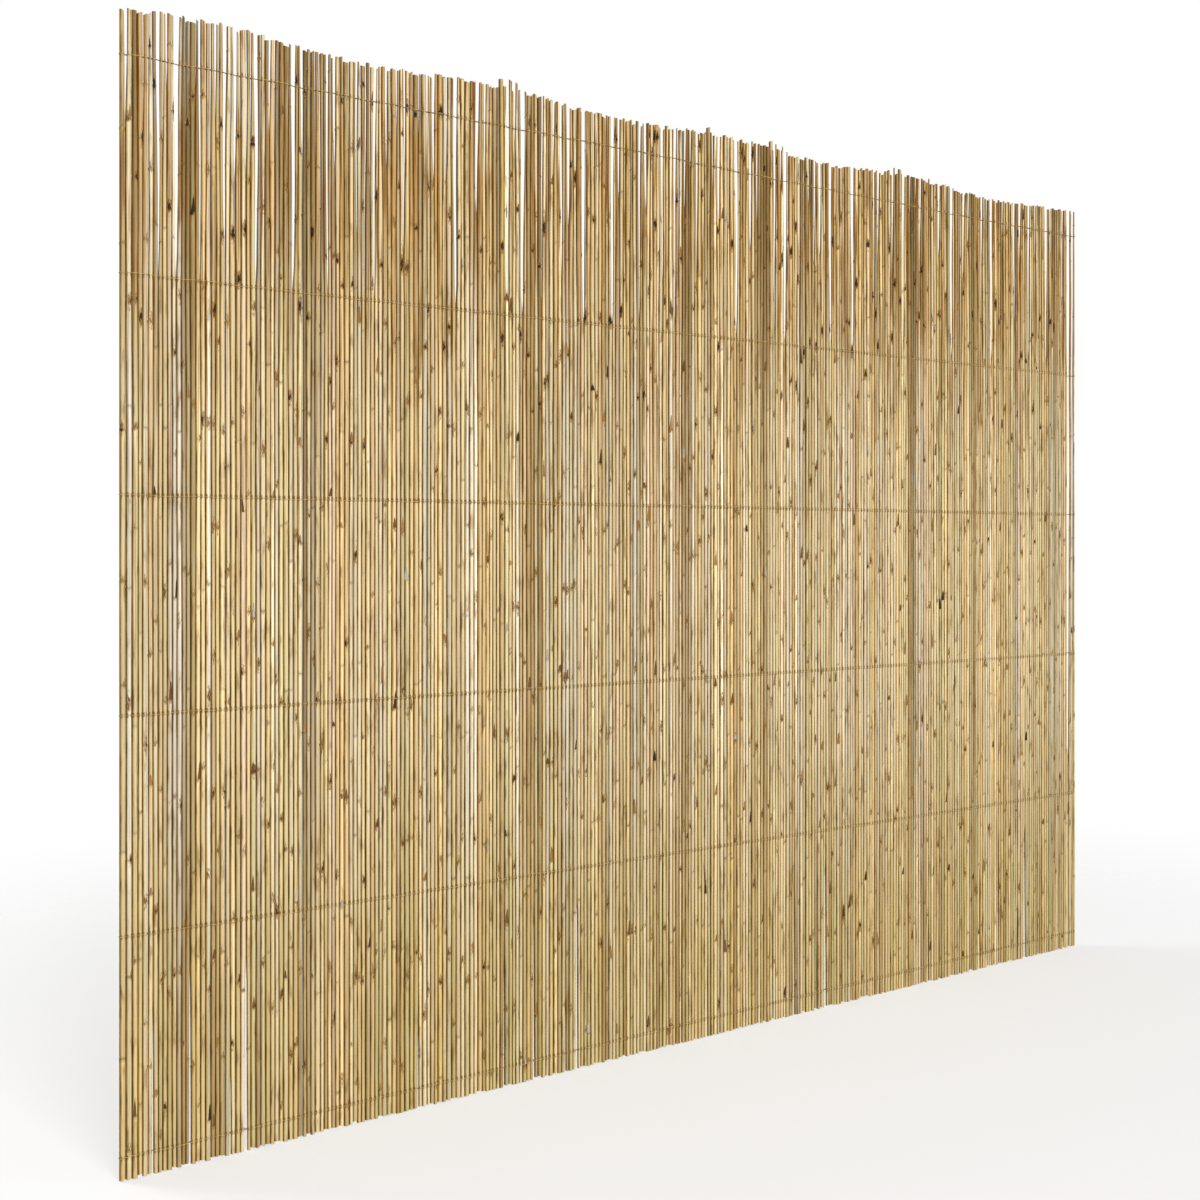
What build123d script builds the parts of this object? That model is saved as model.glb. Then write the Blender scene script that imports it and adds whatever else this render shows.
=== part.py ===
from build123d import *
import math
import os
import random

# Overall size of the unrolled screen
screen_width = 2000.0
screen_height = 1500.0

# Reed stems, which stand side by side as ridges in one wall
reed_pitch = 7.0  # mean thickness of a stem
reed_spread = 1.3  # most that one stem is thicker or thinner than the mean
furrow_thickness = 2.8  # wall left in the furrow between two stems
crest_share = 0.42  # flat crest of a ridge, as a share of its stem's thickness
layout_seed = 23

# Cut ends of the stems, which are uneven at the top and nearly level at the bottom
top_wave = 5.0  # slow rise and fall along the top edge
top_wave_length = 460.0
top_wave_crest = 45.0  # from the middle of the screen to a crest of that wave
top_lean = 6.0  # how much higher the top is cut at the left edge than in the middle
top_jitter = 3.5  # most that one stem ends above or below that line
foot_unevenness = 3.0  # highest that a stem ends above the ground

# Stems that stick out above the others: stem counted from the left edge, rise above the line
tall_reeds = {20: 6.0, 84: 12.0, 86: 14.0, 88: 12.0, 143: 7.0, 163: 10.0, 165: 13.0, 168: 10.0}
tall_reeds.update({206: 7.0, 208: 13.0, 210: 12.0, 222: 8.0})

# The same run of stems comes again and again along the screen
run_reeds = 79

# Gaps open at the top: stem of the run that the gap follows, reach downwards, width of its mouth
top_gaps = [
    (1, 123.0, 2.4),
    (7, 307.0, 3.0),
    (9, 60.0, 2.4),
    (11, 325.0, 5.4),
    (16, 325.0, 1.8),
    (19, 83.0, 2.4),
    (21, 263.0, 3.0),
    (23, 175.0, 3.8),
    (27, 325.0, 4.0),
    (30, 114.0, 2.4),
    (35, 325.0, 4.7),
    (37, 127.0, 2.4),
    (43, 325.0, 2.7),
    (45, 140.0, 3.0),
    (50, 241.0, 2.4),
    (54, 325.0, 3.0),
    (57, 127.0, 2.4),
    (59, 57.0, 2.2),
    (61, 263.0, 2.4),
    (66, 90.0, 1.8),
    (68, 140.0, 3.6),
    (71, 145.0, 1.8),
    (73, 325.0, 4.7),
    (78, 175.0, 4.0),
]

# Gaps open at the bottom, given in the same way but reaching upwards
foot_gaps = [(6, 193.0, 2.0), (14, 237.0, 2.2), (22, 110.0, 2.0), (25, 254.0, 3.6), (64, 114.0, 2.0)]

# Gaps beside the last two stems, which stand apart: distance in from the right edge, reach, width of mouth
edge_gaps = [(21.5, 1113.0, 9.0), (7.0, 898.0, 5.0)]

gap_end_share = 0.45  # width of a gap where it closes, as a share of its mouth
gap_growth = 0.4  # gaps widen towards the right edge by up to this share of the widths given above

# Rows of binding wire
row_count = 6
top_row_drop = 51.0  # from the mean top edge down to the first row
foot_row_rise = 30.0  # from the ground up to the last row
wire_diameter = 0.9
wire_sides = 6  # facets round a wire
wire_clearance = 0.2  # between a wire and the crest of the thickest stem
hook_reach = 14.0  # how far a front wire's end turns back behind the mat
hook_clearance = 0.4  # between that end and the end of the back wire
hook_bend = 45.0  # degrees turned at each corner on the way round


# Thickness of every stem, drawn once and brought to the width of the screen
draw = random.Random(layout_seed)
reed_count = round(screen_width / reed_pitch)
raw_thickness = [draw.uniform(reed_pitch - reed_spread, reed_pitch + reed_spread) for _ in range(reed_count)]
fit = screen_width / sum(raw_thickness)
thickness = [raw * fit for raw in raw_thickness]
furrow_x = [-screen_width / 2]
for reed_thickness in thickness:
    furrow_x.append(furrow_x[-1] + reed_thickness)


def top_line(x):
    """Height of the mean cut line along the top edge."""
    wave = top_wave * math.cos(2 * math.pi * (x - top_wave_crest) / top_wave_length)
    return screen_height + wave - top_lean * x / (screen_width / 2)


top_z = []
foot_z = []
for reed in range(reed_count):
    middle = (furrow_x[reed] + furrow_x[reed + 1]) / 2
    rise = tall_reeds.get(reed, 0.0) + draw.uniform(-top_jitter, top_jitter)
    top_z.append(top_line(middle) + rise)
    foot_z.append(max(0.0, draw.uniform(-foot_unevenness / 2, foot_unevenness)))


def ridge_line(side):
    """Outline of one face of the wall, from left to right; side is -1 for the front and 1 for the back."""
    points = [(furrow_x[0], side * furrow_thickness / 2)]
    for left, right in zip(furrow_x, furrow_x[1:]):
        middle, width = (left + right) / 2, right - left
        crest = crest_share * width / 2
        points.append((middle - crest, side * width / 2))
        points.append((middle + crest, side * width / 2))
        points.append((right, side * furrow_thickness / 2))
    return points


def end_line(heights):
    """Stepped line along the cut ends of the stems, from left to right."""
    points = []
    for left, right, height in zip(furrow_x, furrow_x[1:], heights):
        if (left, height) not in points[-1:]:
            points.append((left, height))
        points.append((right, height))
    return points


def gap_outline(x, mouth_z, end_z, mouth):
    """Four corners of a tapering gap about x, from its mouth to where it closes."""
    half, end = mouth / 2, gap_end_share * mouth / 2
    return [(x - half, mouth_z), (x + half, mouth_z), (x + end, end_z), (x - end, end_z)]


# The stems are made too long at both ends and then cut, so every gap's mouth lies out there too
spare_length = 2 * (top_wave + top_lean + top_jitter + max(tall_reeds.values()))
stem_end = screen_height + spare_length
stem_foot = -spare_length
left_edge, right_edge = furrow_x[0], furrow_x[-1]

# Outline of every gap in the plane of the screen
gaps = []
apart = max(distance + mouth for distance, _, mouth in edge_gaps)  # width kept for the stems that stand apart
for furrow, x in enumerate(furrow_x):
    wider = 1 + gap_growth * furrow / reed_count
    for after, reach, mouth in top_gaps:
        if furrow % run_reeds == after and x < right_edge - apart:
            gaps.append(gap_outline(x, stem_end, screen_height - reach, mouth * wider))
    for after, reach, mouth in foot_gaps:
        if furrow % run_reeds == after and x < right_edge - apart:
            gaps.append(gap_outline(x, stem_foot, reach, mouth * wider))
for distance, reach, mouth in edge_gaps:
    gaps.append(gap_outline(right_edge - distance, stem_end, screen_height - reach, mouth))

front_side, back_side = -1, 1
wall_reach = max(thickness)  # more than the wall's half thickness

# The wall of stems
with BuildPart() as reed_mat:
    with BuildSketch(Plane.XY.offset(stem_foot)):
        with BuildLine():
            Polyline(*ridge_line(front_side), *reversed(ridge_line(back_side)), close=True)
        make_face()
    extrude(amount=stem_end - stem_foot)
    with BuildSketch(Plane.XZ):
        with BuildLine():
            Polyline(*end_line(top_z), *reversed(end_line(foot_z)), close=True)
        make_face()
    extrude(amount=wall_reach, both=True, mode=Mode.INTERSECT)
    with BuildSketch(Plane.XZ):
        for corners in gaps:
            with BuildLine():
                Polyline(*corners, close=True)
            make_face()
    extrude(amount=wall_reach, both=True, mode=Mode.SUBTRACT)
reed_mat.part.label = "reed_mat"

os.makedirs("parts", exist_ok=True)
export_step(reed_mat.part, "parts/reed_mat.step")

# The binding wires, one in front and one behind in every row
stand_off = wire_clearance + wire_diameter / 2  # from a wire's middle to the stem that it passes
wire_y = max(thickness) / 2 + stand_off
hook_corner_y = furrow_thickness / 2 + stand_off * math.tan(math.radians(hook_bend / 2))


def hook(edge, edge_stem):
    """Turn of a front wire round the last stem at one edge, from behind the mat to its front."""
    side = math.copysign(1, edge)
    crest_corner = edge - side * edge_stem * (1 - crest_share) / 2
    outside = edge + side * stand_off
    return [
        (edge - side * hook_reach, wire_y),
        (crest_corner, wire_y),
        (outside, hook_corner_y),
        (outside, -hook_corner_y),
        (crest_corner, -wire_y),
    ]


back_end = screen_width / 2 - hook_reach - hook_clearance
front_path = hook(left_edge, thickness[0]) + hook(right_edge, thickness[-1])[::-1]
back_path = [(-back_end, wire_y), (back_end, wire_y)]
row_spacing = (screen_height - top_row_drop - foot_row_rise) / (row_count - 1)
for row in range(row_count):
    row_z = screen_height - top_row_drop - row * row_spacing
    for side_name, path in (("front", front_path), ("back", back_path)):
        name = f"row_{row + 1}_{side_name}_wire"
        with BuildPart() as wire:
            with BuildLine():
                route = Polyline(*[(x, y, row_z) for x, y in path])
            with BuildSketch(Plane(route @ 0, z_dir=route % 0)):
                RegularPolygon(wire_diameter / 2, wire_sides)
            sweep(transition=Transition.RIGHT)
        wire.part.label = name
        export_step(wire.part, f"parts/{name}.step")

print(f"{reed_count} stems, {len(gaps)} gaps, {row_count} rows of wire")
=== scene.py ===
import math
import random

import bpy
import numpy as np
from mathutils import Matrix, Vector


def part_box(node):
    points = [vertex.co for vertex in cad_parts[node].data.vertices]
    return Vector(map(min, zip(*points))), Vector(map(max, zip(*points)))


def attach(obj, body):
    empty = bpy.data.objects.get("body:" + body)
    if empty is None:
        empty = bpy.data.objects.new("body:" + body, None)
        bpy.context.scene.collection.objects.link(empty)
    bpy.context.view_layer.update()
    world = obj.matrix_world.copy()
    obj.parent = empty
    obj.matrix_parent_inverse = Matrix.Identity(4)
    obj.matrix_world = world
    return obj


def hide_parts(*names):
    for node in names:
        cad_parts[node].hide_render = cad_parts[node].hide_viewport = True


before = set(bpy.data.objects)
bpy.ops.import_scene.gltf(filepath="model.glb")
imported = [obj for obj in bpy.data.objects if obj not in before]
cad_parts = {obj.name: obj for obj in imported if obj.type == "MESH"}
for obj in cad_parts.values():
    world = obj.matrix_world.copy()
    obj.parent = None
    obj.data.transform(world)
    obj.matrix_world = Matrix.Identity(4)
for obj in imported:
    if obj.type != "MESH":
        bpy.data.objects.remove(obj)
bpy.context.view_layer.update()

mm = 0.001
fullTurn = 6.28  # radians

# Layout of the mat: the same stems, cut ends and gaps as the ridged wall of the frame
mat = {
    "height": 1500 * mm,            # mean cut line at the top
    "pitch": 7.0 * mm,              # mean thickness of a stem
    "spread": 1.3 * mm,
    "seed": 23,
    "topWave": 5.0 * mm,
    "topWaveLength": 460 * mm,
    "topWaveCrest": 45 * mm,        # from the middle of the screen to a crest
    "topLean": 6.0 * mm,            # how much higher the left end of the top is cut than its middle
    "topJitter": 3.5 * mm,
    "footUnevenness": 3.0 * mm,
    "runReeds": 79,                 # the pattern of gaps comes again after so many stems
    "gapEndShare": 0.45,            # width of a gap where it closes, as a share of its mouth
    "gapGrowth": 0.4,               # gaps widen towards the right edge by up to this share
    "gapEase": 14 * mm,             # stretch over which two stems part
    # stems that stick out at the top, and by how many mm
    "tall": {
        20: 6, 84: 12, 86: 14, 88: 12, 143: 7, 163: 10, 165: 13, 168: 10, 206: 7, 208: 13, 210: 12, 222: 8,
    },
    # stem of the run that the gap follows, reach downwards, width of its mouth, in mm
    "topGaps": [
        (1, 123, 2.4), (7, 307, 3.0), (9, 60, 2.4), (11, 325, 5.4), (16, 325, 1.8), (19, 83, 2.4),
        (21, 263, 3.0), (23, 175, 3.8), (27, 325, 4.0), (30, 114, 2.4), (35, 325, 4.7), (37, 127, 2.4),
        (43, 325, 2.7), (45, 140, 3.0), (50, 241, 2.4), (54, 325, 3.0), (57, 127, 2.4), (59, 57, 2.2),
        (61, 263, 2.4), (66, 90, 1.8), (68, 140, 3.6), (71, 145, 1.8), (73, 325, 4.7), (78, 175, 4.0),
    ],
    "footGaps": [(6, 193, 2.0), (14, 237, 2.2), (22, 110, 2.0), (25, 254, 3.6), (64, 114, 2.0)],
    # distance in from the right edge, reach downwards, width of the mouth, in mm
    "edgeGaps": [(21.5, 1113, 9.0), (7.0, 898, 5.0)],
}


def layOutStems():
    draw = random.Random(mat["seed"])
    low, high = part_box("reed_mat")
    width = high.x - low.x
    count = round(width / mat["pitch"])
    raw = [draw.uniform(mat["pitch"] - mat["spread"], mat["pitch"] + mat["spread"]) for _ in range(count)]
    total = sum(raw)
    furrows = [low.x]
    for one in raw:
        furrows.append(furrows[-1] + one * width / total)
    stems = []
    for i in range(count):
        middle = (furrows[i] + furrows[i + 1]) / 2
        wave = mat["topWave"] * math.cos(2 * math.pi * (middle - mat["topWaveCrest"]) / mat["topWaveLength"])
        wave -= mat["topLean"] * middle / (width / 2)
        rise = mat["tall"].get(i, 0) * mm + draw.uniform(-mat["topJitter"], mat["topJitter"])
        foot = max(0.0, draw.uniform(-mat["footUnevenness"] / 2, mat["footUnevenness"]))
        stems.append({
            "left": furrows[i],
            "right": furrows[i + 1],
            "top": mat["height"] + wave + rise,
            "foot": foot,
        })
    return furrows, stems


def layOutGaps(furrows):
    # each gap is its middle, where it closes, where its mouth is and how wide that is
    tallest = mat["topWave"] + mat["topLean"] + mat["topJitter"] + max(mat["tall"].values()) * mm
    topMouth, footMouth = mat["height"] + 2 * tallest, -2 * tallest
    apart = max(distance + mouth for distance, _, mouth in mat["edgeGaps"]) * mm
    gaps = []
    for i, x in enumerate(furrows):
        if x >= furrows[-1] - apart:
            continue
        wider = (1 + mat["gapGrowth"] * i / (len(furrows) - 1)) * mm
        for after, reach, mouth in mat["topGaps"]:
            if i % mat["runReeds"] == after:
                gaps.append((x, mat["height"] - reach * mm, topMouth, mouth * wider))
        for after, reach, mouth in mat["footGaps"]:
            if i % mat["runReeds"] == after:
                gaps.append((x, reach * mm, footMouth, mouth * wider))
    for distance, reach, mouth in mat["edgeGaps"]:
        gaps.append((furrows[-1] - distance * mm, mat["height"] - reach * mm, topMouth, mouth * mm))
    return gaps


def halfGap(gap, z):
    # half the width of a gap at heights z: nothing past its closed end, then opening to its mouth
    _, closed, mouthZ, mouth = gap
    along = (z - closed) / (mouthZ - closed)
    opened = mouth / 2 * (mat["gapEndShare"] + (1 - mat["gapEndShare"]) * np.clip(along, 0, 1))
    ease = np.clip((along * abs(mouthZ - closed) + mat["gapEase"]) / (2 * mat["gapEase"]), 0, 1)
    return opened * ease * ease * (3 - 2 * ease)


def findRows():
    # height of every row of wire, from the top one down
    heights = []
    while f"row_{len(heights) + 1}_front_wire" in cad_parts:
        low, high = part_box(f"row_{len(heights) + 1}_front_wire")
        heights.append((low.z + high.z) / 2)
    return heights


furrows, stems = layOutStems()
gaps = layOutGaps(furrows)
rowHeights = findRows()
print("layout:", len(stems), "stems,", len(gaps), "gaps and", len(rowHeights), "rows of wire")

# One dry reed stem
reed = {
    "sides": 10,
    "ringStep": 36 * mm,            # plain rings between the nodes
    "internode": (130 * mm, 270 * mm),
    "nodeSwell": 0.42 * mm,         # how far the ring of a node stands out
    # rings about a node: distance from it in mm, share of the swell
    "nodeRings": [(-16, 0.0), (-5, 0.1), (-1.6, 0.7), (0, 1.0), (1.3, -0.5), (4, 0.1), (14, 0.0)],
    "nodeClear": 24 * mm,           # plain rings keep this far from a node
    "nodeEnds": 20 * mm,            # and nodes this far from the two ends of a stem
    "ringEnds": (4 * mm, 12 * mm),  # a node's rings and plain rings keep this far from them
    "slit": (0.0 * mm, 0.3 * mm),   # room left between two stems
    "openSlit": (0.6 * mm, 1.3 * mm),  # the same for the few slits that let light through
    "openOften": 0.11,              # share of the slits that do
    "slitTop": (0.0 * mm, 1.5 * mm),  # how much wider it gets at the top, where stems are thinner
    "slitStart": (0.78, 0.94),      # where it starts to widen, as a share of the height
    "gapNear": 10 * mm,             # gaps this near to a stem can narrow it
    "gapWiden": (1.34, 1.42),       # round stems leave more room than the flat wall: left and right edge
    "thinnest": 2.2 * mm,
    "thickest": 8.2 * mm,
    "furrowWander": (0.4 * mm, 1.5 * mm),  # how far a furrow strays sideways at the foot and at the top
    "slowWave": (4, 9),             # its two waves, in radians a metre
    "quickWave": (14, 24),
    "quickShare": 0.6,              # height of the quick one, as a share of the slow one
    "wander": 0.30 * mm,            # how far a stem stands forward or back
    "sway": (7, 0.4),               # wave of that, in radians a metre, and its share of it
    "slant": 3.5 * mm,              # most that a cut end slopes
    "slants": (0.5, 1.0),           # share of that at the foot and at the top
    "leastSlant": 0.1,
    "bore": 0.66,                   # hollow inside, as a share of the radius
    "boreTaper": 0.9,
    "boreDepth": 16 * mm,
    # colours of the hollow ends: pith at the rim, and a dark brown painted shade deep in the bore
    "pith": [0.50, 0.38, 0.20],
    "hole": [0.10, 0.07, 0.035],
    "sharp": 50,                    # degrees between faces that show as an edge
    "mapStep": 4 * mm,              # room in the map for each ring of a hollow end
    "mapEdge": 0.04,
    "seed": 71,
}

# Dark scars of buds and of old leaf sheaths, at the nodes
mark = {
    "often": 0.71,                  # share of the nodes that carry one
    "power": (0.82, 1.5),           # how strong those are low down and near the top
    "rise": (0.9, 1.3),             # heights between which that changes
    "strength": (0.35, 1.15),
    "facing": 1.0,                  # most radians that one looks away from straight front or back
    "narrowness": (1.2, 3.2),
    "tall": (3.5, 11),              # mm
    "above": 1 * mm,                # from the node up to its middle
}

# Remnants of leaf sheaths at the nodes
scrap = {
    "often": 0.34,                  # share of the nodes that keep one
    "wrap": (0.7, 1.9),             # radians of the stem that it covers
    "height": (8 * mm, 26 * mm),
    "below": 1.5 * mm,              # from the node down to its foot
    "fromTop": 30 * mm,             # nodes this near to the top of a stem keep none
    "topClear": 2 * mm,             # from its tip to the top of the stem
    "facing": 0.5,                  # most radians that it looks away from straight front or back
    "lean": 0.35,                   # and that it winds round the stem towards its tip
    "narrowing": (0.75, 1.6),       # share of its width that its tip has lost, and how late that comes
    "lift": 0.12 * mm,
    "edgeLift": 0.4,                # share of the lift at its two edges
    "flare": 0.7 * mm,              # how far its tip stands off
    "fray": (-0.35, 0.1),           # unevenness of the tip, as a share of the height
    "thick": 0.10 * mm,
    "across": 5,
    "along": 5,
    # colours in linear light, and how often each comes
    "tones": [
        ((0.06, 0.034, 0.017), 2),
        ((0.17, 0.09, 0.033), 4),
        ((0.36, 0.20, 0.07), 4),
        ((0.5, 0.45, 0.37), 1),
    ],
    "shade": (0.8, 1.15),
    "mapEdge": 0.05,
}

# Tones of the stems: colour as it is written in linear light, and how often it comes
tones = [
    ((0.75, 0.65, 0.44), 4.5),      # pale straw
    ((0.72, 0.595, 0.34), 4.5),     # straw
    ((0.70, 0.54, 0.30), 2.5),      # warm tan
    ((0.74, 0.60, 0.44), 2),        # rosy
    ((0.69, 0.61, 0.35), 3),        # olive straw
    ((0.63, 0.55, 0.31), 1.2),      # dull olive
    ((0.64, 0.46, 0.22), 0.5),      # orange brown
    ((0.65, 0.59, 0.48), 2.6),      # greyed
    ((0.80, 0.745, 0.61), 1.8),     # bleached
]
# and of their upper part, which is browner, and their lower part, more golden
topTones = [
    ((0.54, 0.33, 0.12), 3),        # warm brown
    ((0.29, 0.185, 0.07), 1.9),     # dark brown
    ((0.50, 0.38, 0.15), 2.5),      # olive brown
    ((0.75, 0.55, 0.25), 3),        # straw
    ((0.84, 0.71, 0.44), 1.8),      # pale
]
footTones = [
    ((0.67, 0.51, 0.21), 3),        # golden
    ((0.55, 0.47, 0.19), 3),        # olive
    ((0.37, 0.25, 0.09), 2),        # brown
    ((0.84, 0.70, 0.40), 2.5),      # straw
]
darkTones = [((0.30, 0.20, 0.075), 2), ((0.38, 0.28, 0.115), 2), ((0.24, 0.17, 0.07), 1)]
# bands of stems across the screen: middle, half width in m, share of light that they keep
bands = [
    (-0.91, 0.014, 0.84),
    (-0.73, 0.011, 0.86),
    (-0.35, 0.014, 0.80),
    (-0.15, 0.012, 0.88),
    (-0.05, 0.013, 0.82),
    (0.13, 0.011, 0.86),
    (0.505, 0.013, 0.76),
    (0.68, 0.010, 0.84),
    (-0.82, 0.030, 1.05),
    (-0.43, 0.050, 1.05),
    (-0.26, 0.020, 1.05),
    (0.04, 0.020, 1.04),
    (0.38, 0.030, 1.02),
]
# how the tone runs along a stem
toning = {
    "shade": (0.85, 1.13),          # light of a whole stem
    "topMix": (0.6, 1.0),           # how far the top goes over to its own tone
    "topAt": (0.66, 0.22),          # where that starts and over what stretch, as shares of the height
    "footMix": (0.4, 0.9),
    "footAt": (0.34, 0.24),         # the same, going down
    "darkOften": 0.7,               # share of the stems in a darker band that are dark
    "darkMix": (0.25, 0.85),
    "bleach": 0.10,                 # how much paler the stems are about their middle
    "bleachAt": (0.52, 0.22),       # where, and over what stretch, as shares of the height
    "step": (0.93, 1.07),           # change of light at a node
    "wax": 0.22,                    # most that the bloom below a node adds to the light
    "waxAt": 9 * mm,                # how far below, and its half width
    "line": (0.25, 0.6),            # how dark the line of a node is
    "lineWidth": 1.6 * mm,
}


def pick(draw, choices):
    total = sum(weight for _, weight in choices)
    at = draw.uniform(0, total)
    for value, weight in choices:
        at -= weight
        if at <= 0:
            return value
    return choices[-1][0]


def stray(number, z):
    # how far a furrow runs beside its straight line at heights z; the two edges of the mat stay straight
    if number in (0, len(stems)):
        return 0 * z
    turns = random.Random(number)
    low, high = reed["furrowWander"]
    most = low + (high - low) * np.clip(z / mat["height"] - 0.5, 0, 0.5) * 2
    wave = np.sin(turns.uniform(*reed["slowWave"]) * z + turns.uniform(0, fullTurn))
    quick = np.sin(turns.uniform(*reed["quickWave"]) * z + turns.uniform(0, fullTurn))
    return most * (wave + reed["quickShare"] * quick) / (1 + reed["quickShare"])


def stemEdges(number, z, slits):
    # left and right side of a stem at heights z, beside its gaps and slits
    stem = stems[number]
    left = np.full_like(z, stem["left"])
    right = np.full_like(z, stem["right"])
    widen = np.interp(number / len(stems), (0, 1), reed["gapWiden"])
    for gap in gaps:
        x = gap[0]
        if x < stem["left"] - reed["gapNear"] or x > stem["right"] + reed["gapNear"]:
            continue
        half = halfGap(gap, z) * widen
        if x > (stem["left"] + stem["right"]) / 2:
            right = np.minimum(right, x - half)
        else:
            left = np.maximum(left, x + half)
    room = []
    for narrow, wider, start in slits:
        share = np.clip((z / mat["height"] - start) / (1 - start), 0, 1)
        room.append((narrow + wider * share * (2 - share)) / 2)
    left = left + room[0] + stray(number, z)
    right = right - room[1] + stray(number + 1, z)
    middle, half = (left + right) / 2, np.clip(right - left, reed["thinnest"], reed["thickest"]) / 2
    return middle - half, middle + half


def nodeHeights(draw, stem):
    heights = []
    z = stem["foot"] + draw.uniform(reed["nodeEnds"], reed["internode"][1])
    while z < stem["top"] - reed["nodeEnds"]:
        heights.append(z)
        z += draw.uniform(*reed["internode"])
    return heights


def mixTone(a, b, share):
    return [p + (q - p) * share for p, q in zip(a, b)]


def stemRings(stem, nodes):
    # heights of a stem's rings, closer together at its nodes, with how far each swells
    rings = {}
    nodeEnd, plainEnd = reed["ringEnds"]
    for z in np.arange(stem["foot"] + plainEnd, stem["top"] - plainEnd, reed["ringStep"]):
        if all(abs(z - node) > reed["nodeClear"] for node in nodes):
            rings[z] = 0.0
    for node in nodes:
        for away, share in reed["nodeRings"]:
            if stem["foot"] + nodeEnd < node + away * mm < stem["top"] - nodeEnd:
                rings[node + away * mm] = share
    heights = sorted(rings)
    z = np.array([stem["foot"]] + heights + [stem["top"]])
    swell = np.array([0.0] + [rings[one] for one in heights] + [0.0]) * reed["nodeSwell"]
    return z, swell


def stemTones(number, z, nodes, draw):
    # a tone of its own, browner towards the top and yellower at the foot, pale below and dark at each node
    x = (stems[number]["left"] + stems[number]["right"]) / 2
    band = [light for middle, half, light in bands if abs(x - middle) < half]
    shade = draw.uniform(*toning["shade"]) * (band[0] if band else 1)
    tone = np.array(pick(draw, tones)) * shade
    atTop = mixTone(tone, pick(draw, topTones), draw.uniform(*toning["topMix"]))
    if band and band[0] < 1 and draw.random() < toning["darkOften"]:
        atTop = pick(draw, darkTones)
        tone = np.array(mixTone(tone, atTop, draw.uniform(*toning["darkMix"])))
    atFoot = mixTone(tone, pick(draw, footTones), draw.uniform(*toning["footMix"]))
    share = z / mat["height"]
    start, stretch = toning["topAt"]
    up = np.clip((share - start) / stretch, 0, 1)[:, None]
    start, stretch = toning["footAt"]
    down = np.clip((start - share) / stretch, 0, 1)[:, None]
    ringTone = tone * (1 - up) + atTop * up
    ringTone = ringTone * (1 - down) + atFoot * down
    middle, stretch = toning["bleachAt"]
    ringTone = ringTone * (1 + toning["bleach"] * np.exp(-((share - middle) / stretch) ** 2))[:, None]
    for node in nodes:
        away = z - node
        ringTone = np.where((away >= 0)[:, None], ringTone * draw.uniform(*toning["step"]), ringTone)
        bloom = np.exp(-((away + toning["waxAt"]) / toning["waxAt"]) ** 2)[:, None]
        wax = bloom * draw.uniform(0.0, toning["wax"])
        line = np.exp(-(away / toning["lineWidth"]) ** 2)[:, None] * draw.uniform(*toning["line"])
        ringTone = ringTone * (1 + wax) * (1 - line)
    return ringTone, shade


def stemMarks(z, angle, nodes, draw):
    # how strong the dark scars at the nodes are at every point of a stem
    marks = np.zeros((len(z), len(angle)))
    for node in nodes:
        if draw.random() < mark["often"]:
            power = np.interp(node, mark["rise"], mark["power"])
            facing = math.pi / 2 + draw.uniform(-mark["facing"], mark["facing"])
            wrapped = np.abs(np.cos(angle - facing)) ** draw.uniform(*mark["narrowness"])
            along = np.exp(-((z - node - mark["above"]) / (draw.uniform(*mark["tall"]) * mm)) ** 2)
            scar = along[:, None] * wrapped[None, :] * draw.uniform(*mark["strength"]) * power
            marks = np.maximum(marks, scar)
    return marks


def stemFaces(count, reach):
    # faces of a stem with so many rings; it takes two columns of the map, its foot half and its top half
    sides, edge = reed["sides"], reed["mapEdge"]
    half = int(np.searchsorted(reach, reach[-1] / 2))
    faces, places = [], []

    def across(k, s):
        column = 0 if k < half else 1
        return (column + edge + (1 - 2 * edge) * s / sides) / 2

    def along(k, row):
        first, last = (0.0, reach[half]) if k < half else (reach[half], reach[-1])
        return (reach[row] - first) / (last - first)

    for s in range(sides):
        after = (s + 1) % sides
        left, right = across(0, s), across(0, s + 1)
        faces.append((count * sides, after, s))
        places.append([((left + right) / 2, along(0, 0)), (right, along(0, 1)), (left, along(0, 1))])
        for k in range(count - 1):
            left, right = across(k + 1, s), across(k + 1, s + 1)
            low, high = along(k + 1, k + 1), along(k + 1, k + 2)
            faces.append((k * sides + s, k * sides + after, (k + 1) * sides + after, (k + 1) * sides + s))
            places.append([(left, low), (right, low), (right, high), (left, high)])
        left, right = across(count, s), across(count, s + 1)
        low, high = along(count, count), along(count, count + 1)
        faces.append((count * sides + 1, (count - 1) * sides + s, (count - 1) * sides + after))
        places.append([((left + right) / 2, high), (left, low), (right, low)])
    return faces, places


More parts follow.
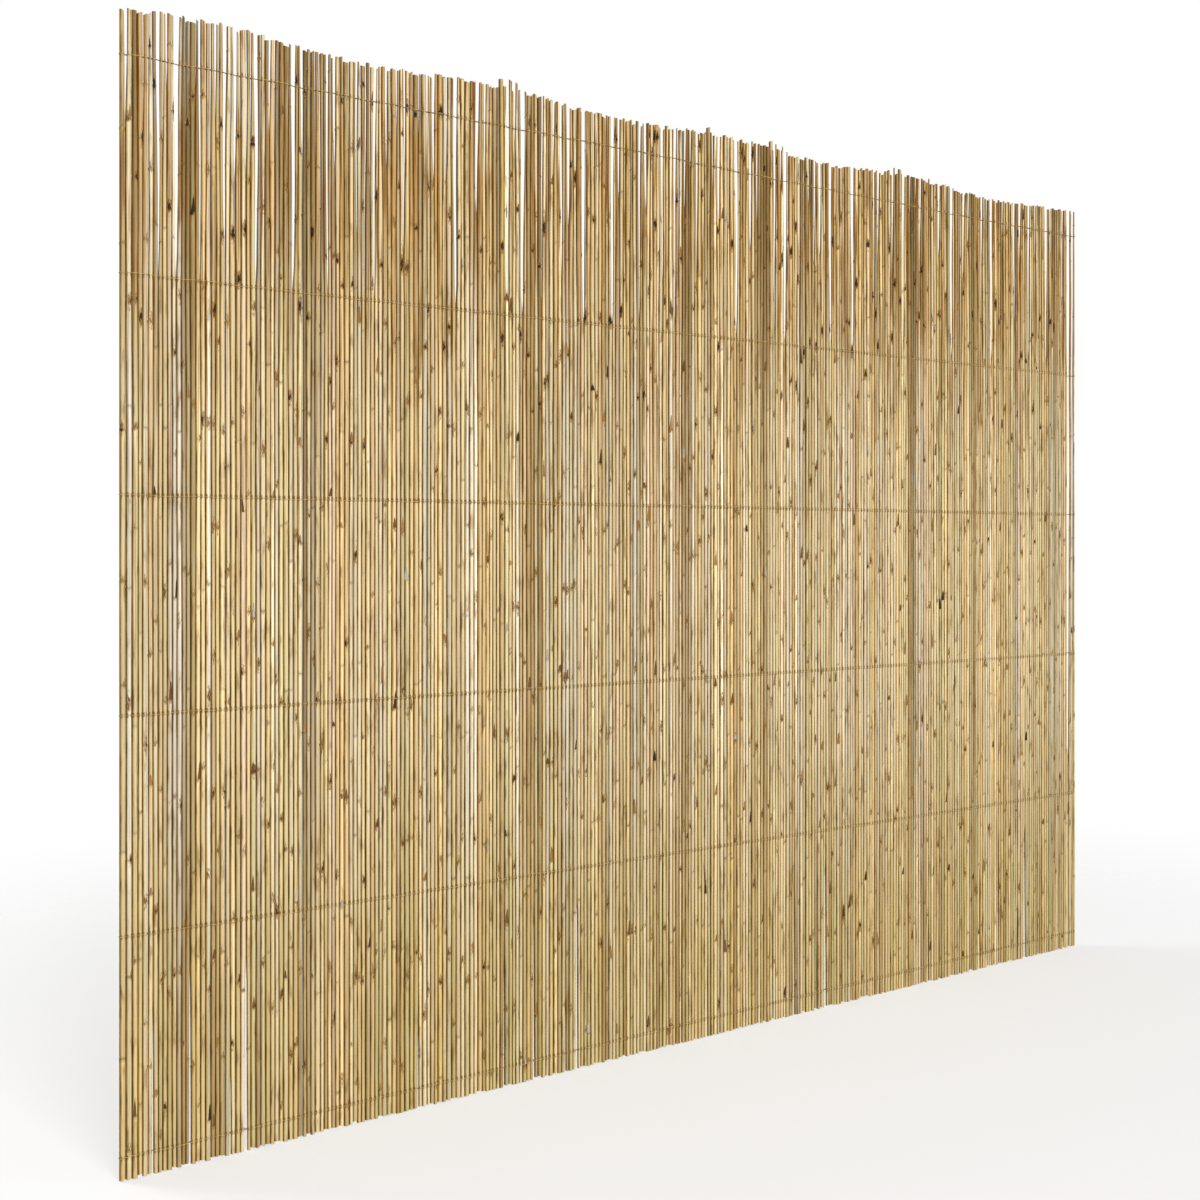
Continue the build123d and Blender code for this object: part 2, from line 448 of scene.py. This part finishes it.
def stemMesh(number, stem, slits, draw):
    nodes = nodeHeights(draw, stem)
    z, swell = stemRings(stem, nodes)
    left, right = stemEdges(number, z, slits)
    radius, middleX = (right - left) / 2, (left + right) / 2
    turns, part = reed["sway"]
    sway = np.sin(z * turns + draw.uniform(0, fullTurn))
    spare = np.clip(reed["thickest"] / 2 - radius - reed["nodeSwell"], 0, reed["wander"])
    middleY = (draw.uniform(part - 1, 1 - part) + part * sway) * spare
    sides = reed["sides"]
    angle = draw.uniform(0, 1) + np.arange(sides) * 2 * math.pi / sides
    ringTone, shade = stemTones(number, z, nodes, draw)
    marks = stemMarks(z, angle, nodes, draw)

    # the cut ends slope, always inwards from the height of the cut
    slopes = []
    for most in reed["slants"]:
        slant = draw.uniform(reed["leastSlant"], most) * reed["slant"]
        slopes.append(slant * (1 + np.cos(angle - draw.uniform(0, fullTurn))) / 2)

    def ring(k, share, height):
        across = min(radius[k] + swell[k], reed["thickest"] / 2) * share
        x = middleX[k] + across * np.cos(angle)
        y = middleY[k] + across * np.sin(angle)
        return np.stack([x, y, height], axis=1)

    # from the floor of the hollow foot, out over its rim, up the stem and into the hollow top
    flat = np.zeros(sides)
    bore, floor, deep = reed["bore"], reed["bore"] * reed["boreTaper"], reed["boreDepth"]
    footCut, topCut = z[0] + slopes[0], z[-1] - slopes[1]
    rows = [ring(0, floor, flat + z[0] + deep), ring(0, bore, footCut), ring(0, 1.0, footCut)]
    for k in range(1, len(z) - 1):
        rows.append(ring(k, 1.0, flat + z[k]))
    rows += [ring(-1, 1.0, topCut), ring(-1, bore, topCut), ring(-1, floor, flat + z[-1] - deep)]
    middles = [rows[0].mean(axis=0), rows[-1].mean(axis=0)]
    # pith at the rim of each hollow end, dark painted shade at the floor of its bore
    inner = np.tile(np.array(reed["pith"]) * shade, (sides, 1))
    hole = np.tile(np.array(reed["hole"]), (sides, 1))
    colours = np.concatenate([hole, inner, np.repeat(ringTone, sides, axis=0), inner, hole, hole[:2]])
    allMarks = np.concatenate([flat, flat, marks.ravel(), flat, flat, [0.0, 0.0]])

    # way along the surface from the middle of the foot's floor, for the map
    step = reed["mapStep"]
    reach = np.concatenate([[0, step, 2 * step], 2 * step + z[1:] - z[0]])
    reach = np.concatenate([[0], reach + step, reach[-1] + step * np.array([2, 3, 4])])
    faces, places = stemFaces(len(rows), reach)
    stem["nodes"] = nodes
    stem["line"] = (z, middleX, middleY, radius)
    return np.concatenate(rows + [middles]), faces, places, colours, allMarks


def scrapMesh(stem, node, draw):
    # the torn remnant of a leaf sheath, wrapped part of the way round the stem from a node upwards
    z, middleX, middleY, radius = stem["line"]
    wide = draw.uniform(*scrap["wrap"])
    tall = min(draw.uniform(*scrap["height"]), stem["top"] - node - scrap["topClear"])
    facing = draw.choice([-1, 1]) * math.pi / 2 + draw.uniform(-scrap["facing"], scrap["facing"])
    lean = draw.uniform(-scrap["lean"], scrap["lean"])
    across, along = scrap["across"], scrap["along"]
    narrowing, power = scrap["narrowing"]
    mapEdge = scrap["mapEdge"]
    points, places = [], []
    for layer in (0, 1):
        for k in range(along + 1):
            up = k / along
            height = node - scrap["below"] + up * tall
            narrowed = wide * (1 - narrowing * up ** power)
            lift = scrap["lift"] + scrap["flare"] * up ** 3 - (scrap["thick"] if layer else 0)
            at = [np.interp(height, z, line) for line in (middleX, middleY, radius)]
            for s in range(across + 1):
                turn = facing + lean * up + narrowed * (s / across - 0.5)
                edge = abs(s / across - 0.5) * 2
                fray = draw.uniform(*scrap["fray"]) * tall * up ** 3
                away = at[2] + lift * (scrap["edgeLift"] + (1 - scrap["edgeLift"]) * (1 - edge))
                points.append((at[0] + away * math.cos(turn), at[1] + away * math.sin(turn), height + fray))
                places.append(((layer + mapEdge + (1 - 2 * mapEdge) * s / across) / 2, up))
    faces = []
    row, sheet = across + 1, (across + 1) * (along + 1)
    for k in range(along):
        for s in range(across):
            a = k * row + s
            faces.append((a, a + 1, a + 1 + row, a + row))
            faces.append((sheet + a, sheet + a + row, sheet + a + 1 + row, sheet + a + 1))
    # the rim that joins the outer sheet to the inner one
    rim = list(range(row)) + [k * row + across for k in range(1, along + 1)]
    rim += [along * row + s for s in range(across - 1, -1, -1)] + [k * row for k in range(along - 1, 0, -1)]
    for a, b in zip(rim, rim[1:] + rim[:1]):
        faces.append((b, a, sheet + a, sheet + b))
    return points, faces, places


def addPiece(name, points, faces, sharp, materials):
    # a smooth mesh in the scene, with an edge where faces meet at more than so many degrees
    mesh = bpy.data.meshes.new(name)
    mesh.from_pydata(points.tolist(), [], faces)
    mesh.update()
    mesh.polygons.foreach_set("use_smooth", [True] * len(mesh.polygons))
    mesh.set_sharp_from_angle(angle=math.radians(sharp))
    for material in materials:
        mesh.materials.append(material)
    piece = bpy.data.objects.new(name, mesh)
    bpy.context.scene.collection.objects.link(piece)
    return piece


def buildPanel(name, members, draw, slits):
    # a few neighbouring stems with their sheath scraps, as one mesh
    points, faces, corners, colours, marks, kinds = [], [], [], [], [], []
    stemKind, sheathKind = 0, 1     # places of the two materials in a panel
    start = 0
    columns = len(members) + 1      # of the map: one for each stem and the last one for the scraps
    scraps = []
    for column, number in enumerate(members):
        stem = stems[number]
        beside = slits[number:number + 2]
        own, ownFaces, ownPlaces, ownColours, ownMarks = stemMesh(number, stem, beside, draw)
        points.append(own)
        colours.append(ownColours)
        marks.append(ownMarks)
        for face, place in zip(ownFaces, ownPlaces):
            faces.append(tuple(start + v for v in face))
            corners += [((column + across) / columns, along) for across, along in place]
            kinds.append(stemKind)
        start += len(own)
        for node in stem["nodes"]:
            if draw.random() < scrap["often"] and node < stem["top"] - scrap["fromTop"]:
                scraps.append(scrapMesh(stem, node, draw))
    mapEdge = scrap["mapEdge"]
    for row, (own, ownFaces, ownPlaces) in enumerate(scraps):
        points.append(np.array(own))
        tone = np.array(pick(draw, scrap["tones"])) * draw.uniform(*scrap["shade"])
        colours.append(np.tile(tone, (len(own), 1)))
        marks.append(np.zeros(len(own)))
        for face in ownFaces:
            faces.append(tuple(start + v for v in face))
            for v in face:
                across, up = ownPlaces[v]
                along = (row + mapEdge + (1 - 2 * mapEdge) * up) / len(scraps)
                corners.append(((columns - 1 + across) / columns, along))
            kinds.append(sheathKind)
        start += len(own)

    panel = addPiece(name, np.concatenate(points), faces, reed["sharp"], [stemMaterial, sheathMaterial])
    mesh = panel.data
    mesh.polygons.foreach_set("material_index", kinds)
    tint = mesh.attributes.new("stemColour", "FLOAT_COLOR", "POINT")
    flat = np.concatenate(colours)
    withAlpha = np.concatenate([flat, np.ones((len(flat), 1))], axis=1)
    tint.data.foreach_set("color", withAlpha.astype(np.float32).ravel())
    scar = mesh.attributes.new("scar", "FLOAT", "POINT")
    scar.data.foreach_set("value", np.concatenate(marks).astype(np.float32))
    layer = mesh.uv_layers.new(name="OFBake")
    layer.data.foreach_set("uv", np.array(corners, np.float32).ravel())
    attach(panel, "root")
    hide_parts("reed_mat")
    return panel


def addNode(tree, kind, **values):
    node = tree.nodes.new(kind)
    for key, value in values.items():
        if key in node.inputs:
            node.inputs[key].default_value = value
        else:
            setattr(node, key, value)
    return node


def feed(tree, socket, value):
    # gives a socket a number, a colour or what another node puts out
    if isinstance(value, (int, float)):
        socket.default_value = value
    elif isinstance(value, (tuple, list)):
        socket.default_value = (*value, 1.0)
    else:
        tree.links.new(value, socket)


def doMath(tree, operation, *values):
    node = addNode(tree, "ShaderNodeMath", operation=operation)
    for socket, value in zip(node.inputs, values):
        feed(tree, socket, value)
    return node.outputs[0]


def grain(tree, stretch, detail=3.0, rough=0.55):
    # noise in the object's own place, stretched along the stems
    place = addNode(tree, "ShaderNodeTexCoord")
    mapped = addNode(tree, "ShaderNodeMapping", Scale=stretch)
    tree.links.new(place.outputs["Object"], mapped.inputs["Vector"])
    noise = addNode(tree, "ShaderNodeTexNoise", Scale=1.0, Detail=detail, Roughness=rough)
    tree.links.new(mapped.outputs["Vector"], noise.inputs["Vector"])
    return noise.outputs["Fac"]


def parts(tree, what):
    # x, y and z of the object's own place or of its normal
    place = addNode(tree, "ShaderNodeTexCoord")
    apart = addNode(tree, "ShaderNodeSeparateXYZ")
    tree.links.new(place.outputs[what], apart.inputs[0])
    return apart.outputs


def remap(tree, source, span, smooth=False):
    # the span is two values of the source, and then what the result is at each
    node = addNode(tree, "ShaderNodeMapRange")
    node.interpolation_type = "SMOOTHSTEP" if smooth else "LINEAR"
    for key, value in zip(("From Min", "From Max", "To Min", "To Max"), span):
        node.inputs[key].default_value = value
    tree.links.new(source, node.inputs["Value"])
    return node.outputs["Result"]


def blendColour(tree, factor, first, second, how="MIX"):
    node = addNode(tree, "ShaderNodeMix", data_type="RGBA", blend_type=how)
    # the sockets for a colour share their names with others, so they are taken by number
    for number, value in ((0, factor), (6, first), (7, second)):
        feed(tree, node.inputs[number], value)
    return node.outputs[2]


def ownTone(tree, light):
    # the tone that the stem or scrap was given, times a factor
    tint = addNode(tree, "ShaderNodeAttribute", attribute_name="stemColour")
    lit = addNode(tree, "ShaderNodeHueSaturation")
    tree.links.new(tint.outputs["Color"], lit.inputs["Color"])
    tree.links.new(light, lit.inputs["Value"])
    return lit.outputs["Color"]


def newMaterial(name):
    material = bpy.data.materials.new(name)
    material.use_nodes = True
    tree = material.node_tree
    return material, tree, tree.nodes["Principled BSDF"]


def bump(tree, shader, height, strength, distance):
    node = addNode(tree, "ShaderNodeBump", Strength=strength, Distance=distance)
    tree.links.new(height, node.inputs["Height"])
    tree.links.new(node.outputs["Normal"], shader.inputs["Normal"])


# Finish of the stems: waxy straw on the crests, with painted shade that turns the sides golden brown and the
# furrows between stems near black
reedFinish = {
    "specular": 0.06,
    "bump": 0.35,
    "bumpDepth": 0.4 * mm,
    # noises: how fine they are across, from front to back and along
    "fibre": (650, 650, 6),         # fine streaks along a stem
    "patch": (150, 150, 22),        # weathered patches
    "chip": (820, 820, 190),        # ragged edges of stains and scars
    "streak": (420, 420, 5),        # long brown streaks, most of them near the top
    # what the noises change, as two values of the noise and what comes out at each
    "roughness": (0.3, 0.7, 0.42, 0.64),
    "fibreLight": (0.3, 0.7, 0.80, 1.20),
    "uneven": (0.3, 0.7, -0.12, 0.12),  # shift of the line between the crest and the painted shade of side and furrow
    "torn": (0.3, 0.7, -0.55, 0.55),  # shift of the line round a scar
    # colours, and where each lies, as two values of its source and its strength at each
    "side": (0.74, 0.53, 0.235),    # painted shade: what the side of a stem keeps of its colour
    "sideAt": (0.40, 0.80, 0.0, 1.0),
    # painted shade in the furrows between the stems, where the surface faces sideways
    "furrow": (0.115, 0.068, 0.016),
    "furrowAt": (0.74, 0.98, 0.0, 0.97),
    "stain": (0.25, 0.15, 0.06),
    "stainAt": (0.54, 0.72, 0.0, 0.6),
    "specksAt": (0.66, 0.74, 0.0, 0.25),
    "greying": (0.48, 0.43, 0.33),
    "greyingAt": (0.28, 0.42, 0.35, 0.0),
    "streaked": (0.27, 0.135, 0.035),
    "streakedAt": (0.51, 0.65, 0.0, 1.0),
    "streakRise": (0.6, 1.35, 0.25, 1.0),  # heights, and the share of the streaks at each
    "rust": (0.27, 0.15, 0.026),    # rust marks of the wires in the furrows, and painted shade where a wire dips between two stems
    "rustAndShadeReach": (2.0 * mm, 4.0 * mm, 1.0, 0.0),  # distances from the row, and strength at each
    "rustAt": (0.30, 0.50, 0.0, 1.0),
    "rustAndShadePatch": (0.40, 0.52, 0.7, 1.0),
    "halo": (0.29, 0.155, 0.042),
    "haloAt": (0.18, 0.42, 0.0, 0.86),
    "scar": (0.022, 0.012, 0.006),
    "scarAt": (0.66, 0.84, 0.0, 0.97),
    "tornAt": (0.0, 0.2, 0.0, 1.0),  # strength of a scar, and share of the shift at each
}


def makeReedMaterial():
    material, tree, shader = newMaterial("dryReed")
    finish = reedFinish

    def lay(colour, source, what, how="MIX"):
        # one colour of the finish over those below, where its source says
        return blendColour(tree, remap(tree, source, finish[what + "At"], True), colour, finish[what], how)

    fibre = grain(tree, finish["fibre"])
    patch = grain(tree, finish["patch"], detail=4.0, rough=0.6)
    chip = grain(tree, finish["chip"], rough=0.6)
    streak = grain(tree, finish["streak"], detail=2.0)
    height = parts(tree, "Object")["Z"]
    # how far the surface faces sideways, which places the painted shade of the sides and furrows
    sideways = doMath(tree, "ABSOLUTE", parts(tree, "Normal")["X"])
    uneven = doMath(tree, "ADD", sideways, remap(tree, patch, finish["uneven"]))

    colour = ownTone(tree, remap(tree, fibre, finish["fibreLight"]))
    colour = lay(colour, patch, "stain")
    colour = lay(colour, patch, "greying")
    upper = remap(tree, height, finish["streakRise"])
    streaks = doMath(tree, "MULTIPLY", remap(tree, streak, finish["streakedAt"], True), upper)
    colour = blendColour(tree, streaks, colour, finish["streaked"])
    # painted shade: darker golden brown on the sides of each stem and near black in its furrows
    colour = lay(colour, uneven, "side", "MULTIPLY")
    colour = lay(colour, uneven, "furrow")

    # how far a point lies from the nearest row of wire
    spacing = rowHeights[0] - rowHeights[1]
    fromRow = doMath(tree, "ADD", height, spacing / 2 - rowHeights[-1])
    fromRow = doMath(tree, "SUBTRACT", doMath(tree, "MODULO", fromRow, spacing), spacing / 2)
    nearRow = remap(tree, doMath(tree, "ABSOLUTE", fromRow), finish["rustAndShadeReach"], True)
    # rust of the wires together with painted shade of a wire dipping between the stems, in the furrows near
    # each row
    rustAndWireShade = doMath(tree, "MULTIPLY", nearRow, remap(tree, uneven, finish["rustAt"], True))
    rustAndWireShade = doMath(tree, "MULTIPLY", rustAndWireShade, remap(tree, patch, finish["rustAndShadePatch"]))
    colour = blendColour(tree, rustAndWireShade, colour, finish["rust"])

    specks = remap(tree, chip, finish["specksAt"], True)
    colour = blendColour(tree, specks, colour, finish["stain"])
    scar = addNode(tree, "ShaderNodeAttribute", attribute_name="scar").outputs["Fac"]
    torn = doMath(tree, "MULTIPLY", remap(tree, chip, finish["torn"]), remap(tree, scar, finish["tornAt"]))
    ragged = doMath(tree, "ADD", scar, torn)
    colour = lay(colour, ragged, "halo")
    colour = lay(colour, ragged, "scar")
    feed(tree, shader.inputs["Base Color"], colour)
    feed(tree, shader.inputs["Roughness"], remap(tree, patch, finish["roughness"]))
    feed(tree, shader.inputs["Specular IOR Level"], finish["specular"])
    bump(tree, shader, fibre, finish["bump"], finish["bumpDepth"])
    return material


# Finish of the sheath remnants: each has a tone of its own, with veins
sheathFinish = {
    "roughness": 0.8,
    "specular": 0.03,
    "vein": (1700, 1700, 30),       # how fine they are across, from front to back and along
    "veinLight": (0.3, 0.7, 0.6, 1.4),  # two values of that noise, and the light at each
    "bump": 0.5,
    "bumpDepth": 0.4 * mm,
}


def makeSheathMaterial():
    material, tree, shader = newMaterial("oldSheath")
    vein = grain(tree, sheathFinish["vein"], detail=2.0)
    feed(tree, shader.inputs["Base Color"], ownTone(tree, remap(tree, vein, sheathFinish["veinLight"])))
    feed(tree, shader.inputs["Roughness"], sheathFinish["roughness"])
    feed(tree, shader.inputs["Specular IOR Level"], sheathFinish["specular"])
    bump(tree, shader, vein, sheathFinish["bump"], sheathFinish["bumpDepth"])
    return material


# Galvanised binding wire, dulled and browned outdoors
wire = {
    "diameter": 0.9 * mm,
    "clear": 0.05 * mm,             # between the wire and a stem that it hugs
    "sides": 6,
    "sharp": 65,                    # degrees between faces that show as an edge
    "turn": 0.45 * mm,              # how far the two wires shift as they cross
    "hug": 62,                      # degrees to each side of the crest over which a wire hugs a stem
    "hugPoints": 5,                 # points of its line there
    "endPoints": 12,                # and round the last stem of a row
    "hook": 2,                      # stems that a front wire's end reaches back over
    "waves": (4.5, 11, 70),         # a row strays from level in three waves of so many radians a metre
    "wander": (1.12 * mm, 0.48 * mm, 0.8 * mm),  # and by so much in each
    "metallic": 0.2,
    "zinc": (0.64, 0.50, 0.27),
    "rust": (0.50, 0.33, 0.14),
    "spots": (60, 60, 60),          # how fine the noise of the rust is
    "rustAt": (0.42, 0.62, 0.0, 1.0),  # two values of that noise, and how much rust there is at each
    "roughness": (0.4, 0.65, 0.42, 0.8),
    "tuckedShade": (0.17, 0.095, 0.022),  # painted shade where it lies deep between two stems
    "tuckedShadeAt": (1.8 * mm, 3.2 * mm, 1.0, 0.0),  # distances from the middle of the mat, and how much at each
    "fine": (2500, 2500, 2500),     # how fine the noise of its surface is
    "bump": 0.3,
    "bumpDepth": 0.2 * mm,
}


def makeWireMaterial():
    material, tree, shader = newMaterial("bindingWire")
    spots = grain(tree, wire["spots"], detail=5.0, rough=0.65)
    colour = blendColour(tree, remap(tree, spots, wire["rustAt"], True), wire["zinc"], wire["rust"])
    # painted shade: the wire darkens where it lies deep between the stems
    fromMiddle = doMath(tree, "ABSOLUTE", parts(tree, "Object")["Y"])
    colour = blendColour(tree, remap(tree, fromMiddle, wire["tuckedShadeAt"], True), colour, wire["tuckedShade"])
    feed(tree, shader.inputs["Base Color"], colour)
    feed(tree, shader.inputs["Metallic"], wire["metallic"])
    feed(tree, shader.inputs["Roughness"], remap(tree, spots, wire["roughness"]))
    bump(tree, shader, grain(tree, wire["fine"], detail=2.0), wire["bump"], wire["bumpDepth"])
    return material


stemMaterial = makeReedMaterial()
sheathMaterial = makeSheathMaterial()
wireMaterial = makeWireMaterial()

# Pieces that the mat is split into
panels = {"count": 20}


def layOutSlits(draw):
    # each is its width low down, how much wider it gets at the top and where that starts
    slits = []
    for _ in furrows:
        slits.append([draw.uniform(*reed[what]) for what in ("slit", "slitTop", "slitStart")])
    for slit in slits:
        if draw.random() < reed["openOften"]:
            slit[0] = draw.uniform(*reed["openSlit"])
    slits[0] = slits[-1] = (0.0, 0.0, 0.0)  # none at the two edges of the mat
    return slits


draw = random.Random(reed["seed"])
slits = layOutSlits(draw)
splits = [round(k * len(stems) / panels["count"]) for k in range(panels["count"] + 1)]
for number, (first, last) in enumerate(zip(splits, splits[1:]), start=1):
    buildPanel(f"reeds_{number:02d}", range(first, last), draw, slits)
print("reeds:", len(stems), "stems in", panels["count"], "panels")


def stemAt(stem, z):
    heights, middleX, middleY, radius = stem["line"]
    return [float(np.interp(z, heights, line)) for line in (middleX, middleY, radius)]


def around(place, first, last, steps):
    # points round a stem, from one angle to another in degrees
    x, y, radius = place
    away = radius + wire["diameter"] / 2 + wire["clear"]
    points = []
    for k in range(steps):
        angle = math.radians(first + (last - first) * k / (steps - 1))
        points.append([x + away * math.cos(angle), y + away * math.sin(angle), 0.0])
    return points


def crossing(a, b, side, shift):
    # the wire dips between two stems, as deep as the room there lets it
    leftEdge, rightEdge = a[0] + a[2], b[0] - b[2]
    room = rightEdge - leftEdge
    radius = min(a[2], b[2])
    need = min((wire["diameter"] - room) / 2, radius)
    depth = math.sqrt(max(0.0, 2 * radius * need - need * need)) if need > 0 else 0.0
    y = side * max(depth, wire["diameter"] / 2)
    return [(leftEdge + rightEdge) / 2, (a[1] + b[1]) / 2 + y, shift]


def tube(points, name):
    # a round wire along a line of points
    line = np.array(points)
    way = np.gradient(line, axis=0)
    way /= np.linalg.norm(way, axis=1)[:, None]
    side = np.cross(way, np.array([0.0, 0.0, 1.0]))
    side /= np.linalg.norm(side, axis=1)[:, None]
    over = np.cross(side, way)
    sides, radius = wire["sides"], wire["diameter"] / 2
    rings = []
    for s in range(sides):
        angle = 2 * math.pi * s / sides
        rings.append(line + radius * (math.cos(angle) * side + math.sin(angle) * over))
    count = len(line)
    faces = []
    for k in range(count - 1):
        for s in range(sides):
            after = (s + 1) % sides
            faces.append((k * sides + s, (k + 1) * sides + s, (k + 1) * sides + after, k * sides + after))
    faces.append(tuple(range(sides)))
    faces.append(tuple(reversed([(count - 1) * sides + s for s in range(sides)])))
    return addPiece(name, np.stack(rings, axis=1).reshape(-1, 3), faces, wire["sharp"], [wireMaterial])


def rowPaths(height, draw):
    # the front wire turns round the last stem at each edge; the back wire runs between its ends
    at = [stemAt(stem, height) if stem["top"] > height > stem["foot"] else None for stem in stems]
    count, hook, hug, turn = len(at), wire["hook"], wire["hug"], wire["turn"]
    hugPoints, endPoints = wire["hugPoints"], wire["endPoints"]
    front, back = -1, 1
    twist = [(-1) ** i * turn for i in range(count)]
    # angles round a stem, from its right side by way of its back to its left side and its front
    backRight, backLeft = 90 - hug, 90 + hug
    frontLeft, frontRight = 270 - hug, 270 + hug
    outer, inner = [], []
    for i in range(hook - 1, 0, -1):
        outer += around(at[i], backRight, backLeft, hugPoints)
        outer.append(crossing(at[i - 1], at[i], back, -2 * turn))
    outer += around(at[0], backRight, frontRight, endPoints)
    for i in range(1, count - 1):
        outer.append(crossing(at[i - 1], at[i], front, twist[i]))
        outer += around(at[i], frontLeft, frontRight, hugPoints)
    outer.append(crossing(at[-2], at[-1], front, twist[-1]))
    outer += around(at[-1], frontLeft, 360 + backLeft, endPoints)
    for i in range(count - 1, count - hook, -1):
        outer.append(crossing(at[i - 1], at[i], back, -2 * turn))
        outer += around(at[i - 1], backRight, backLeft, hugPoints)
    for i in range(hook, count - hook):
        if i > hook:
            inner.append(crossing(at[i - 1], at[i], back, -twist[i]))
        inner += around(at[i], backLeft, backRight, hugPoints)
    phases = [draw.uniform(0, fullTurn) for _ in wire["waves"]]
    for point in outer + inner:
        point[2] += height
        for most, turns, phase in zip(wire["wander"], wire["waves"], phases):
            point[2] += most * math.sin(point[0] * turns + phase)
    return outer, inner


for row, height in enumerate(rowHeights, start=1):
    for path, side in zip(rowPaths(height, draw), ("front", "back")):
        piece = tube(path, f"row_{row}_{side}")
        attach(piece, "root")
        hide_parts(f"row_{row}_{side}_wire")
print("wires:", len(rowHeights), "rows")


# Pale floor, with the object's shadow on it, that ends in a white surround
stage = {
    "size": 16.0,
    "colour": (0.94, 0.94, 0.94),
    "roughness": 0.9,
    "fade": (0.9, 2.6, 0.5, 1.0),   # two distances, and how far the floor has gone over to the surround
    "surround": 0.42,               # light of the surround on the object
    "key": 255.0,
    "keyPlace": (-1.6, -5.4, 3.2),
    "back": 150.0,
    "backPlace": (-3.4, 4.0, 3.0),
    "fill": 32.0,
    "fillPlace": (3.6, -3.6, 2.0),
    "lampSize": 2.4,
    "aim": (0, 0, 0.75),            # what the lamps point at
}


def makeFloorMaterial():
    material, tree, shader = newMaterial("floorPaint")
    feed(tree, shader.inputs["Base Color"], stage["colour"])
    feed(tree, shader.inputs["Roughness"], stage["roughness"])
    place = addNode(tree, "ShaderNodeNewGeometry")
    far = addNode(tree, "ShaderNodeVectorMath", operation="LENGTH")
    tree.links.new(place.outputs["Position"], far.inputs[0])
    fade = remap(tree, far.outputs["Value"], stage["fade"], True)
    clear = addNode(tree, "ShaderNodeBsdfTransparent")
    mix = addNode(tree, "ShaderNodeMixShader")
    tree.links.new(fade, mix.inputs[0])
    tree.links.new(shader.outputs[0], mix.inputs[1])
    tree.links.new(clear.outputs[0], mix.inputs[2])
    tree.links.new(mix.outputs[0], tree.nodes["Material Output"].inputs["Surface"])
    return material


def makeStage():
    half = stage["size"] / 2
    mesh = bpy.data.meshes.new("floor")
    corners = [(-half, -half, 0), (half, -half, 0), (half, half, 0), (-half, half, 0)]
    mesh.from_pydata(corners, [], [(0, 1, 2, 3)])
    floor = bpy.data.objects.new("floor", mesh)
    bpy.context.scene.collection.objects.link(floor)
    mesh.materials.append(makeFloorMaterial())

    # the surround is dim as a light, and white where it is seen itself
    world = bpy.data.worlds.new("surround")
    bpy.context.scene.world = world
    world.use_nodes = True
    tree = world.node_tree
    tree.nodes.clear()
    soft = addNode(tree, "ShaderNodeBackground", Color=(1, 1, 1, 1), Strength=stage["surround"])
    white = addNode(tree, "ShaderNodeBackground", Color=(1, 1, 1, 1), Strength=1.0)
    ray = addNode(tree, "ShaderNodeLightPath")
    seen = doMath(tree, "MAXIMUM", ray.outputs["Is Camera Ray"], ray.outputs["Is Glossy Ray"])
    seen = doMath(tree, "MAXIMUM", seen, ray.outputs["Is Transmission Ray"])
    mix = addNode(tree, "ShaderNodeMixShader")
    out = addNode(tree, "ShaderNodeOutputWorld")
    tree.links.new(seen, mix.inputs[0])
    tree.links.new(soft.outputs[0], mix.inputs[1])
    tree.links.new(white.outputs[0], mix.inputs[2])
    tree.links.new(mix.outputs[0], out.inputs["Surface"])


def addLamp(name):
    data = bpy.data.lights.new(name, "AREA")
    data.size, data.energy = stage["lampSize"], stage[name]
    lamp = bpy.data.objects.new(name, data)
    lamp.location = stage[name + "Place"]
    aim = [b - a for a, b in zip(lamp.location, stage["aim"])]
    lamp.rotation_euler = (math.atan2(math.hypot(aim[0], aim[1]), -aim[2]), 0, math.atan2(-aim[0], aim[1]))
    bpy.context.scene.collection.objects.link(lamp)


# The photograph's own view, worked out from the corners of the screen in it
view = {
    "place": (-1.754, -1.995, 0.813),
    "heading": -37.5,
    "focal": 1592.6,                # in pixels of the photograph
    "horizon": 548,                 # pixels down from its top
    "frame": 1200,                  # pixels along its side
    "sensor": 36,
    "clip": (0.05, 100),
}


def makeCamera():
    data = bpy.data.cameras.new("photoView")
    data.sensor_width = view["sensor"]
    data.lens = view["sensor"] * view["focal"] / view["frame"]
    data.shift_y = (view["horizon"] - view["frame"] / 2) / view["frame"]
    data.clip_start, data.clip_end = view["clip"]
    camera = bpy.data.objects.new("photoView", data)
    camera.location = view["place"]
    camera.rotation_euler = (math.radians(90), 0, math.radians(view["heading"]))
    bpy.context.scene.collection.objects.link(camera)
    bpy.context.scene.camera = camera


makeStage()
for name in ("key", "back", "fill"):
    addLamp(name)
makeCamera()
bpy.context.scene.view_settings.view_transform = "Standard"
